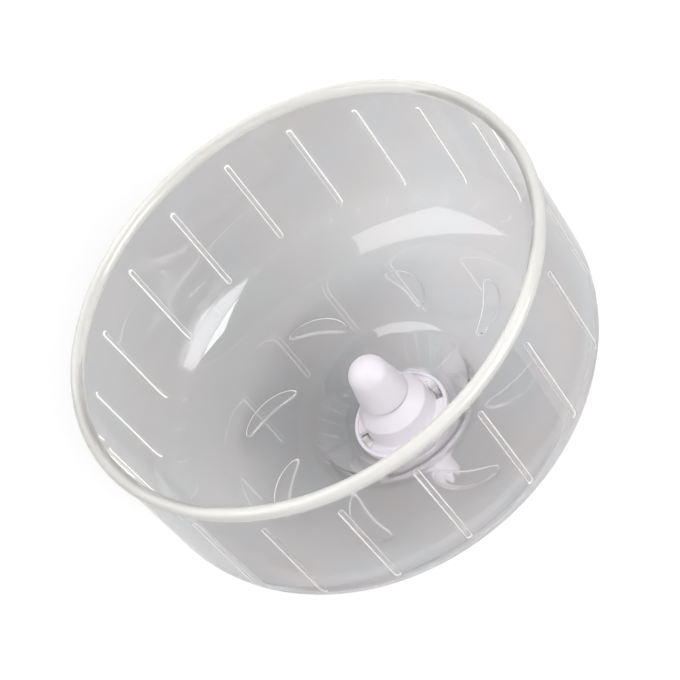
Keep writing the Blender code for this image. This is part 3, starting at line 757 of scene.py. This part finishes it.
grid_quads = grid_faces(columns, rows, True, False)
if volume_of(drum_points - [0, DISC_Y, 0], as_triangles(grid_quads)) < 0:
    grid_quads = grid_quads[:, ::-1]
on_back = [flat_triangles]
for first in crescent_first[:, 0]:
    top = first + ring_step - 1
    on_back.append(first + grid_faces(CRESCENT_STEPS, ring_step, True, False))
    on_back += [top + top_quads * ring_step, top + tips * ring_step]
face_sets = [grid_quads] + [facing(drum_points, faces, MOUTHWARDS) for faces in on_back]
wheel_drum = make_piece("clear_drum", drum_points, face_sets, sharp_deg=DRUM_SHARP_DEG)

# %% Painted glint lines along the ribs
# Where up the edge of a rung or a crescent its painted glint line runs, and how wide it is
RUNG_GLINT_LINE = (0.52, 0.40)
CRESCENT_GLINT_LINE = (0.55, 0.40)
plain_zero = np.zeros(plain_part.shape[:2])
on_rungs = np.concatenate([plain_zero, rib_line(inside_rung, *RUNG_GLINT_LINE)], 1).ravel()
on_crescents = np.tile(rib_line(EDGE_STEPS, *CRESCENT_GLINT_LINE), CRESCENT_COUNT * CRESCENT_STEPS)
# The lines are painted glints: white, glowing marks where the rib edges catch light
mark(wheel_drum, "glint_line", np.concatenate([on_rungs, 0 * on_crescents]))
mark(wheel_drum, "crescent_glint_line", np.concatenate([0 * on_rungs, on_crescents]))

# %% [markdown]
# ## The bayonet lugs
# Two small hooks stand on the drum's seat. The hub flange is pushed over them and turned, and their
# heads then lie over the floor of its groove. Each hook is a head and a stem, two pieces of a ring,
# joined by a Boolean and softened by a bevel, which is plainer than one outline with a step in it.

# %% Pieces of a ring
SECTOR_COLUMNS = 14
LUG_ANGLES = (24.0, 204.0)


def ring_sector(inner, outer, start, end, front, back):
    """A piece of a ring: radius, angle and y each between two limits; points and closed faces."""
    a = np.linspace(np.radians(start), np.radians(end), SECTOR_COLUMNS)[:, None]
    r, y = np.array([inner, outer, outer, inner]), np.array([front, front, back, back])
    points = on_axle(r[None], y[None], a).reshape(-1, 3)
    last = 4 * (SECTOR_COLUMNS - 1)
    caps = np.array([[0, 1, 2, 3], [last + 3, last + 2, last + 1, last]])
    return points, [grid_faces(SECTOR_COLUMNS, 4, False, True), caps[:, ::-1]]


def at_lugs(inner, outer, before, after, front, back):
    """Points and faces of one ring piece per lug, from and to these angles past the lug's own."""
    parts = [ring_sector(inner, outer, a + before, a + after, front, back) for a in LUG_ANGLES]
    shift = np.cumsum([0] + [len(points) for points, _ in parts[:-1]])
    faces = [f + k for (_, sets), k in zip(parts, shift) for f in sets]
    return np.concatenate([points for points, _ in parts]), faces


def settle(piece, name, kind, **settings):
    """Add a modifier, and make what it gives the piece's own mesh."""
    modifier = piece.modifiers.new(name, kind)
    for setting, value in settings.items():
        setattr(modifier, setting, value)
    evaluated = piece.evaluated_get(bpy.context.evaluated_depsgraph_get())
    old = piece.data
    piece.data = bpy.data.meshes.new_from_object(evaluated)
    piece.modifiers.clear()
    bpy.data.meshes.remove(old)


def combine(piece, operation, other):
    """Add another piece to this one or cut it out of it, and remove the other."""
    settle(piece, "combine", "BOOLEAN", operation=operation, solver="EXACT", object=other)
    bpy.data.objects.remove(other)


print("lugs at", LUG_ANGLES, "degrees")

# %% Lugs
# Inner and outer radius, first and last angle past the lug's own, front and back y
LUG_STEM = (0.0098, 0.0111, 0, 11, -0.02695, SEAT_Y + 0.0001)
LUG_HEAD = (0.0097, 0.0112, 0, 20, -0.0274, -0.0265)
LUG_BEVEL = 0.00012
LUG_GLINT = 0.35

stems = make_piece("lug_stems", *at_lugs(*LUG_STEM))
drum_lugs = make_piece("drum_lugs", *at_lugs(*LUG_HEAD))
combine(drum_lugs, "UNION", stems)
settle(drum_lugs, "soften", "BEVEL", width=LUG_BEVEL, segments=2, limit_method="ANGLE")
# The whole lug takes a share of the painted glint and its glow
mark(drum_lugs, "glint_line", np.full(len(drum_lugs.data.vertices), LUG_GLINT))
print("lugs", len(drum_lugs.data.polygons), "faces")

# %% [markdown]
# ## The white hub
# Four white mouldings make the hub: the flange with its collar in front of the back wall, the nose
# cap that hides the nut, the cone behind, and the sleeve whose teeth grip the cage wall. All are
# turned outlines; the sleeve's rear end rises and falls with the angle to form the teeth. Cutting
# the teeth out would do too, but then their edges couldn't be rounded so simply.

# %% Flange
HUB_COLUMNS = 160
HUB_STEP = 0.00012
# As LUG_STEM: a window in the flange round each lug
LUG_WINDOW = (0.0095, 0.0114, -14, 13, -0.0264, -0.0245)


def millimetres(corners):
    """(radius, y, fillet) corners written in millimetres, in metres."""
    return [tuple(0.001 * value for value in corner) for corner in corners]


flange_outline = rounded_outline(millimetres([
    (4.4, -33.0, 0), (4.4, -35.6, 0.25), (5.9, -35.6, 0.3), (8.9, -31.8, 1.2), (9.3, -26.2, 0.3),
    (11.6, -26.2, 0.15), (11.6, -26.9, 0.2), (12.5, -26.9, 0.35), (12.5, -25.0, 0.2),
    (8.4, -25.0, 0), (8.4, -21.3, 0.2), (6.8, -21.3, 0.2), (6.8, -30.3, 0), (4.4, -30.3, 0.1),
    (4.4, -33.0, 0)]), step=HUB_STEP)
hub_flange = turned_piece("hub_flange_shell", flange_outline[:-1], HUB_COLUMNS)
windows = make_piece("window_cut", *at_lugs(*LUG_WINDOW))
combine(hub_flange, "DIFFERENCE", windows)
smooth(hub_flange.data)
print("flange", len(hub_flange.data.polygons), "faces with its windows")

# %% Nose and rear cover
NOSE_TIP_RADIUS = 0.0052
NOSE_TIP_MIDDLE = (0.0, -0.0443)
NOSE_TIP_END = -0.10
NOSE_TIP_ROWS = 26
NOSE_STEP = 0.0001

nose_tip = circle_arc(NOSE_TIP_MIDDLE, NOSE_TIP_RADIUS, -np.pi / 2, NOSE_TIP_END, NOSE_TIP_ROWS)
nose_side = rounded_outline([(*nose_tip[-1], 0.0), *millimetres([
    (6.6, -36.2, 0.6), (4.34, -36.2, 0.2), (4.34, -39.8, 0), (2.3, -39.8, 0), (2.3, -40.8, 0),
    (0.0, -40.8, 0)])], step=NOSE_STEP)
nose_tip[0, 0] = 0.0
nose_outline = np.concatenate([nose_tip[:-1], nose_side])
nose_cap = turned_piece("nose_cap_shell", nose_outline, HUB_COLUMNS)

cover_outline = rounded_outline(millimetres([
    (4.0, -20.0, 0), (4.0, -24.7, 0.1), (6.5, -24.7, 0.15), (6.5, -21.0, 0), (8.7, -21.0, 0),
    (8.7, -22.8, 0.1), (11.9, -22.8, 0.25), (11.9, -22.1, 0.5), (4.9, -14.4, 0.3),
    (4.0, -14.4, 0.2), (4.0, -20.0, 0)]), step=HUB_STEP)
rear_cover = turned_piece("rear_cover_shell", cover_outline[:-1], HUB_COLUMNS)

# %% Sleeve with its ring of teeth
TOOTH_COUNT = 8
TOOTH_DEPTH = 0.0028
TIP_SHARE = 0.36
FLANK_COLUMNS = 12
TIP_COLUMNS = 9
SLEEVE_STEP = 0.0001

sleeve_front = rounded_outline(millimetres([
    (2.3, -23.0, 0), (2.3, -24.7, 0.1), (3.2, -24.7, 0.15), (3.2, -13.8, 0), (4.2, -13.8, 0.25),
    (4.2, -10.3, 0.25), (3.2, -10.3, 0.2), (3.2, -5.0, 0)]), step=SLEEVE_STEP)
end_round = rounded_outline(millimetres([
    (3.2, -1.0, 0), (3.2, 0.0, 0.18), (2.3, 0.0, 0.18), (2.3, -1.0, 0)]), step=SLEEVE_STEP)
sleeve_rows = np.concatenate([sleeve_front, end_round, millimetres([(2.3, -5.0)])])
at_end = np.concatenate([np.zeros(len(sleeve_front)), np.ones(len(end_round)), [0.0]])
tooth_angle = np.concatenate([
    np.linspace(0, 1 - TIP_SHARE, FLANK_COLUMNS),
    np.linspace(1 - TIP_SHARE, 1 + TIP_SHARE, TIP_COLUMNS)[1:],
    np.linspace(1 + TIP_SHARE, 2, FLANK_COLUMNS)[1:-1]]) * np.pi / TOOTH_COUNT
tooth_start = 2 * np.pi * np.arange(TOOTH_COUNT)[:, None] / TOOTH_COUNT
sleeve_angle = (tooth_start + tooth_angle[None]).ravel()
from_notch = np.abs((sleeve_angle * TOOTH_COUNT / (2 * np.pi) + 0.5) % 1 - 0.5) * 2
notch = TOOTH_DEPTH * np.clip(1 - from_notch / (1 - TIP_SHARE), 0, 1)
sleeve_y = sleeve_rows[None, :, 1] - notch[:, None] * at_end[None]
sleeve_points = on_axle(sleeve_rows[None, :, 0], sleeve_y, sleeve_angle[:, None]).reshape(-1, 3)
mount_sleeve = make_piece("mount_sleeve_shell", sleeve_points,
                          [grid_faces(len(sleeve_angle), len(sleeve_rows), True, True)])

# %% [markdown]
# ## Clear plastic
# Clear styrene bends light, mirrors a little of it, and takes a faint grey tint that drifts between
# cool and warm. The mould leaves the bead cloudy. The edges of the rungs and crescents carry
# painted glints: fine white lines, with a small glow, that stand in for the light those edges
# catch.
# Both are a second, cloudy white shader mixed in by a mask; a crescent's edge whitens most where it
# is seen at a slant, a painted sheen. The back wall mirrors the rungs, and in a first reflection
# the lines glow more, a painted highlight for the flank that shines. Lamps have to reach the hub
# through the drum, so for their shadow rays the plastic is a plain tinted filter. A real volume of
# tinted plastic could give the same, but it renders slowly and with more noise.

# %% Masks of the clear plastic
BEAD_ENDS = (-0.0796, -0.0807)
BEAD_OUTSIDE = (0.0572, 0.0587)
BEAD_INNER_SHARE = 0.4
CRESCENT_LEAST_SHEEN = 0.08
SLANT_RANGE = (0.30, 0.85)
LINE_GLINT_SHARE = 0.90
# The painted reflection glow starts at this distance, so the wall just beside a rung doesn't show
# one
REFLECTION_GLINT_RANGE = (0.010, 0.025)


def axle_places(start, place):
    """The y of a place and its distance from the axle."""
    across = start.node("ShaderNodeVectorMath", {"operation": "MULTIPLY"}, {0: place, 1: (1, 0, 1)})
    return (start.node("ShaderNodeSeparateXYZ", inputs={0: place}, out="Y"),
            start.node("ShaderNodeVectorMath", {"operation": "LENGTH"}, {0: across}, out="Value"))


def noise(start, place, scale, detail):
    """Soft noise of a place, about 0.5 and mostly between 0.3 and 0.7."""
    return start.node("ShaderNodeTexNoise",
                      inputs={"Vector": place, "Scale": scale, "Detail": detail})


clear_plastic, start = start_finish("clear_plastic_finish")
place = start.node("ShaderNodeTexCoord", out="Object")
y_of, from_axle = axle_places(start, place)
at_rim = y_of.rise(*BEAD_ENDS)
on_outside = from_axle.rise(*BEAD_OUTSIDE)
bead = at_rim * (BEAD_INNER_SHARE + (1.0 - BEAD_INNER_SHARE) * on_outside)
line_of = start.node("ShaderNodeAttribute", {"attribute_name": "glint_line"}, out="Fac")
crescent_of = start.node("ShaderNodeAttribute", {"attribute_name": "crescent_glint_line"}, out="Fac")
# Painted sheen: a crescent's edge takes more of the white shader where it is seen at a slant
slant = start.node("ShaderNodeLayerWeight", inputs={"Blend": 0.5}, out="Facing").rise(*SLANT_RANGE)
crescent_sheen = CRESCENT_LEAST_SHEEN + (1.0 - CRESCENT_LEAST_SHEEN) * slant
# Painted glints: the white lines on the rib edges, with the painted sheen of the crescents' edges
lines = line_of * LINE_GLINT_SHARE + crescent_of * crescent_sheen
# Rays of a first reflection, in which the lines' glow is raised: a painted highlight of the flank
# that shines
first_mirror = (start.ray("Is Glossy Ray")
                * (1.0 - start.ray("Transmission Depth").rise(0.0, 1.0))
                * start.ray("Ray Length").rise(*REFLECTION_GLINT_RANGE))
print("clear plastic starts with", len(clear_plastic.node_tree.nodes), "nodes")

# %% Clear plastic finish
CLEAR_TINT = (0.851, 0.870, 0.896, 1.0)
CLEAR_WARM = (0.899, 0.868, 0.880, 1.0)
SHADOW_TINT = (0.740, 0.740, 0.746, 1.0)
BEAD_TINT = (0.94, 0.94, 0.93, 1.0)
GLINT_AND_CLOUD_COLOUR = (0.92, 0.905, 0.875, 1.0)
GLINT_AND_CLOUD_DRIFT = (0.88, 0.87, 0.84, 1.0)
STYRENE_IOR = 1.49
BEAD_MILK = 0.72
GLINT_GLOW = 0.42
REFLECTION_GLINT_GLOW = 9.0
VEIL = 0.025

flow = noise(start, place, 60.0, 3.0)
ripple = noise(start, place, 180.0, 2.0)
wave = start.node("ShaderNodeBump",
                  inputs={"Height": ripple, "Strength": 0.015, "Distance": 0.0004})
tint = at_rim.blend(flow.rise(0.35, 0.65).blend(CLEAR_TINT, CLEAR_WARM), BEAD_TINT)
glass = start.node("ShaderNodeBsdfPrincipled", inputs={
    "Base Color": tint, "Roughness": 0.02 + 0.03 * flow,
    "Normal": wave, "Transmission Weight": 1.0, "IOR": STYRENE_IOR})
# Painted glints: the lines glow, and more so in a first reflection, a painted reflection highlight
glow = start.maths("MAXIMUM", line_of, crescent_of) * (1.0 + REFLECTION_GLINT_GLOW * first_mirror)
# The cloudy white shader serves the bead's cloud and the painted glint lines, which glow
glint_and_cloud_shader = start.node("ShaderNodeBsdfPrincipled", inputs={
    "Base Color": flow.rise(0.3, 0.7).blend(GLINT_AND_CLOUD_COLOUR, GLINT_AND_CLOUD_DRIFT),
    "Roughness": 0.25 + 0.1 * flow,
    "Emission Color": glow.grey(), "Emission Strength": GLINT_GLOW})
glint_and_cloud_share = start.maths("MAXIMUM", bead * BEAD_MILK, VEIL + lines)
body = start.node("ShaderNodeMixShader", inputs={0: glint_and_cloud_share, 1: glass, 2: glint_and_cloud_shader})
lamp_filter = start.node("ShaderNodeBsdfTransparent", inputs={"Color": SHADOW_TINT})
show(start, start.node("ShaderNodeMixShader",
                       inputs={0: start.ray("Is Shadow Ray"), 1: body, 2: lamp_filter}))
for piece in (wheel_drum, drum_lugs):
    piece.data.materials.append(clear_plastic)
print("clear plastic on", wheel_drum.name, drum_lugs.name)

# %% [markdown]
# ## White plastic
# The hub is moulded in white with a breath of violet. Its skin has the fine grain of a spark-eroded
# mould, which breaks up the shine, and the colour drifts a little where the plastic flowed. Both
# are noise on the piece's own place, so no seam shows, as it could with an unwrapped pattern.

# %% White plastic finish
WHITE_COLOUR = (0.88, 0.845, 0.89, 1.0)
WHITE_DRIFT = (0.86, 0.82, 0.875, 1.0)

white_plastic, start = start_finish("white_plastic_finish")
place = start.node("ShaderNodeTexCoord", out="Object")
flow = noise(start, place, 140.0, 3.0)
grain = noise(start, place, 4200.0, 2.0)
skin = start.node("ShaderNodeBump",
                  inputs={"Height": grain, "Strength": 0.10, "Distance": 0.00005})
show(start, start.node("ShaderNodeBsdfPrincipled", inputs={
    "Base Color": flow.rise(0.35, 0.7).blend(WHITE_COLOUR, WHITE_DRIFT),
    "Roughness": 0.38 + 0.12 * grain, "Normal": skin, "Specular IOR Level": 0.25}))
for piece in (hub_flange, nose_cap, rear_cover, mount_sleeve):
    piece.data.materials.append(white_plastic)
print("white plastic on the hub")

# %% [markdown]
# ## Metal and nylon
# The axle, nut and washer are zinc-plated steel, the bearing is ground and polished steel with a
# pressed cage, and the bush is plain nylon. Turning and grinding leave fine rings about the axle,
# so the marks are noise of the radius and the y alone. The shapes of these packed solids are right,
# so they stay and only take a finish.

# %% Finishes of the packed solids
BALLS = [f"bearing_ball_{k}" for k in range(1, 8)]
# Each finish: colour, its drift, metallic, roughness, its spread, and the solids that carry it
SOLID_FINISHES = {
    "zinc_finish": (
        (0.70, 0.72, 0.74, 1.0), (0.60, 0.61, 0.60, 1.0), 1.0, 0.26, 0.16,
        ["axle_rod", "axle_nut", "nut_washer"]),
    "bearing_steel_finish": (
        (0.62, 0.62, 0.63, 1.0), (0.54, 0.54, 0.56, 1.0), 1.0, 0.12, 0.12,
        ["bearing_inner_ring", "bearing_outer_ring",
         "bearing_shield_front", "bearing_shield_rear", *BALLS]),
    "cage_steel_finish": (
        (0.56, 0.55, 0.53, 1.0), (0.47, 0.46, 0.45, 1.0), 1.0, 0.32, 0.14,
        ["bearing_cage"]),
    "nylon_finish": (
        (0.80, 0.78, 0.71, 1.0), (0.74, 0.72, 0.65, 1.0), 0.0, 0.45, 0.12,
        ["spacer_bush"]),
}
for name, (colour, drift, metallic, rough, spread, nodes) in SOLID_FINISHES.items():
    finish, start = start_finish(name)
    place = start.node("ShaderNodeTexCoord", out="Object")
    cloud = noise(start, place, 420.0, 4.0)
    y_of, from_axle = axle_places(start, place)
    ring_place = start.node("ShaderNodeCombineXYZ", inputs={"X": from_axle, "Y": y_of})
    rings = noise(start, ring_place, 9000.0, 3.0)
    marks = start.node("ShaderNodeBump",
                       inputs={"Height": rings, "Strength": 0.15, "Distance": 0.00002})
    show(start, start.node("ShaderNodeBsdfPrincipled", inputs={
        "Base Color": cloud.rise(0.3, 0.7).blend(colour, drift), "Metallic": metallic,
        "Roughness": rough + spread * cloud, "Normal": marks}))
    for node in nodes:
        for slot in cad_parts[node].material_slots:
            slot.material = finish
    print(name, "on", len(nodes), "solids")

# %% [markdown] ## Putting the wheel together Each new piece stands for a packed solid and moves
# with that solid's body. The drum, its lugs, the flange and the cover turn together as the wheel;
# the nose cap and the sleeve stay on the axle.

# %% Pieces on their bodies
for piece, body, node, slot in (
        (wheel_drum, "wheel", "wheel_drum", "clear_plastic"),
        (drum_lugs, "wheel", "wheel_drum", "clear_plastic"),
        (hub_flange, "wheel", "hub_flange", "white_plastic"),
        (rear_cover, "wheel", "rear_cover", "white_plastic"),
        (nose_cap, "axle", "nose_cap", "white_plastic"),
        (mount_sleeve, "axle", "mount_sleeve", "white_plastic")):
    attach(piece, body)
    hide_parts(node)
    print(piece.name, "moves with", body, "and stands for", node)

# %% [markdown]
# ## What each lamp lights
# A studio keeps stray light off its subject with flags and screens. Light linking does the same by
# name: floor and side lamp light the floor, key and fill lamp the wheel, and the rear lamp the two
# pieces behind the drum. The clear plastic stops none of them but the floor lamp, whose shadow it
# needs.


# %% Light linking
def gathered(name, objects):
    """A collection of these objects, for a lamp to light or be stopped by."""
    made = bpy.data.collections.new(name)
    for thing in objects:
        made.objects.link(thing)
    return made


all_pieces = list(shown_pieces())
lit_floor = gathered("lit_floor", [floor])
lit_wheel = gathered("lit_wheel", all_pieces)
lit_behind = gathered("lit_behind", [mount_sleeve, rear_cover])
casts_shadow = gathered("casts_shadow", [p for p in all_pieces if p not in (wheel_drum, drum_lugs)])
for lamp, lit in ((floor_lamp, lit_floor), (side_lamp, lit_floor), (key_lamp, lit_wheel),
                  (fill_lamp, lit_wheel), (rear_lamp, lit_behind)):
    lamp.light_linking.receiver_collection = lit
for lamp in (key_lamp, fill_lamp, side_lamp, rear_lamp):
    lamp.light_linking.blocker_collection = casts_shadow

# %% [markdown]
# ## Sizes
# Dressing a part shouldn't make it bigger.
